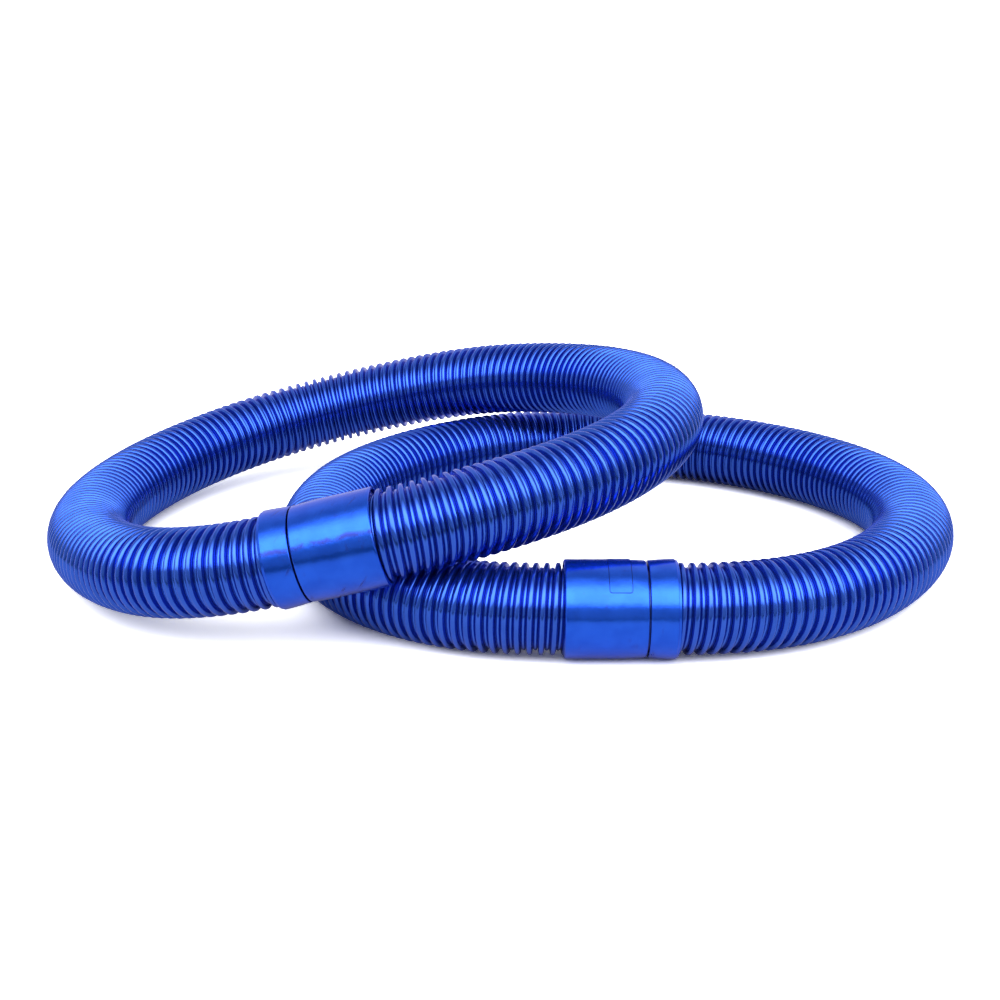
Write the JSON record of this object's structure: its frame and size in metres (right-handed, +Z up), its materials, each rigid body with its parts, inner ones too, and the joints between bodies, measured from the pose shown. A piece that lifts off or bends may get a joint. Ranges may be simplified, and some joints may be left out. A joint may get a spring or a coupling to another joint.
{
  "type": "vacuum hose",
  "caption": "Ribbed pool vacuum hose sections, each curled into a ring and closed by pushing its own plug cuff into its own socket cuff, one ring leaning on the other.",
  "frame": {"origin": "on the floor, below the middle of the box around both rings", "axes": "+X along the longest extent, from the leaning ring to the flat one; +Y from the couplings to the rings' far side; +Z up"},
  "size_m": [0.5548, 0.3881, 0.1151],
  "materials": {
    "hose": "pearl blue, glossy on the ribs",
    "cuff": "pearl blue, satin, lightly scuffed"
  },
  "bodies": {
    "lower_socket_side": {"lower_socket_cuff": "cuff", "lower_hose_socket_half": "hose"},
    "lower_plug_side": {"lower_hose_plug_half": "hose"},
    "lower_plug_end": {"lower_plug_cuff": "cuff"},
    "upper_plug_side": {"upper_hose_plug_half": "hose"},
    "upper_plug_end": {"upper_plug_cuff": "cuff"},
    "upper_socket_side": {"upper_socket_cuff": "cuff", "upper_hose_socket_half": "hose"}
  },
  "joints": [
    {"name": "lower_unplug", "type": "hinge", "parent": "lower_socket_side", "child": "lower_plug_side", "pos_m": [0.05966, 0.19168, 0.0246], "axis": [0, 0, 1], "range_deg": [0, 20]},
    {"name": "lower_twist", "type": "hinge", "parent": "lower_plug_side", "child": "lower_plug_end", "pos_m": [0.0755, -0.1645, 0.0263], "axis": [1, 0, 0], "range_deg": [-45, 45]},
    {"name": "upper_lift", "type": "slide", "parent": "lower_socket_side", "child": "upper_plug_side", "axis": [0, 0, 1], "range_m": [0, 0.12]},
    {"name": "upper_unplug", "type": "hinge", "parent": "upper_plug_side", "child": "upper_socket_side", "pos_m": [-0.07412, 0.19544, 0.0602], "axis": [-0.2457, -0.1391, 0.9593], "range_deg": [0, 20]},
    {"name": "upper_twist", "type": "hinge", "parent": "upper_plug_side", "child": "upper_plug_end", "pos_m": [-0.1034, -0.165, 0.0574], "axis": [-0.9693, 0.0393, -0.2426], "range_deg": [-45, 45]}
  ]
}
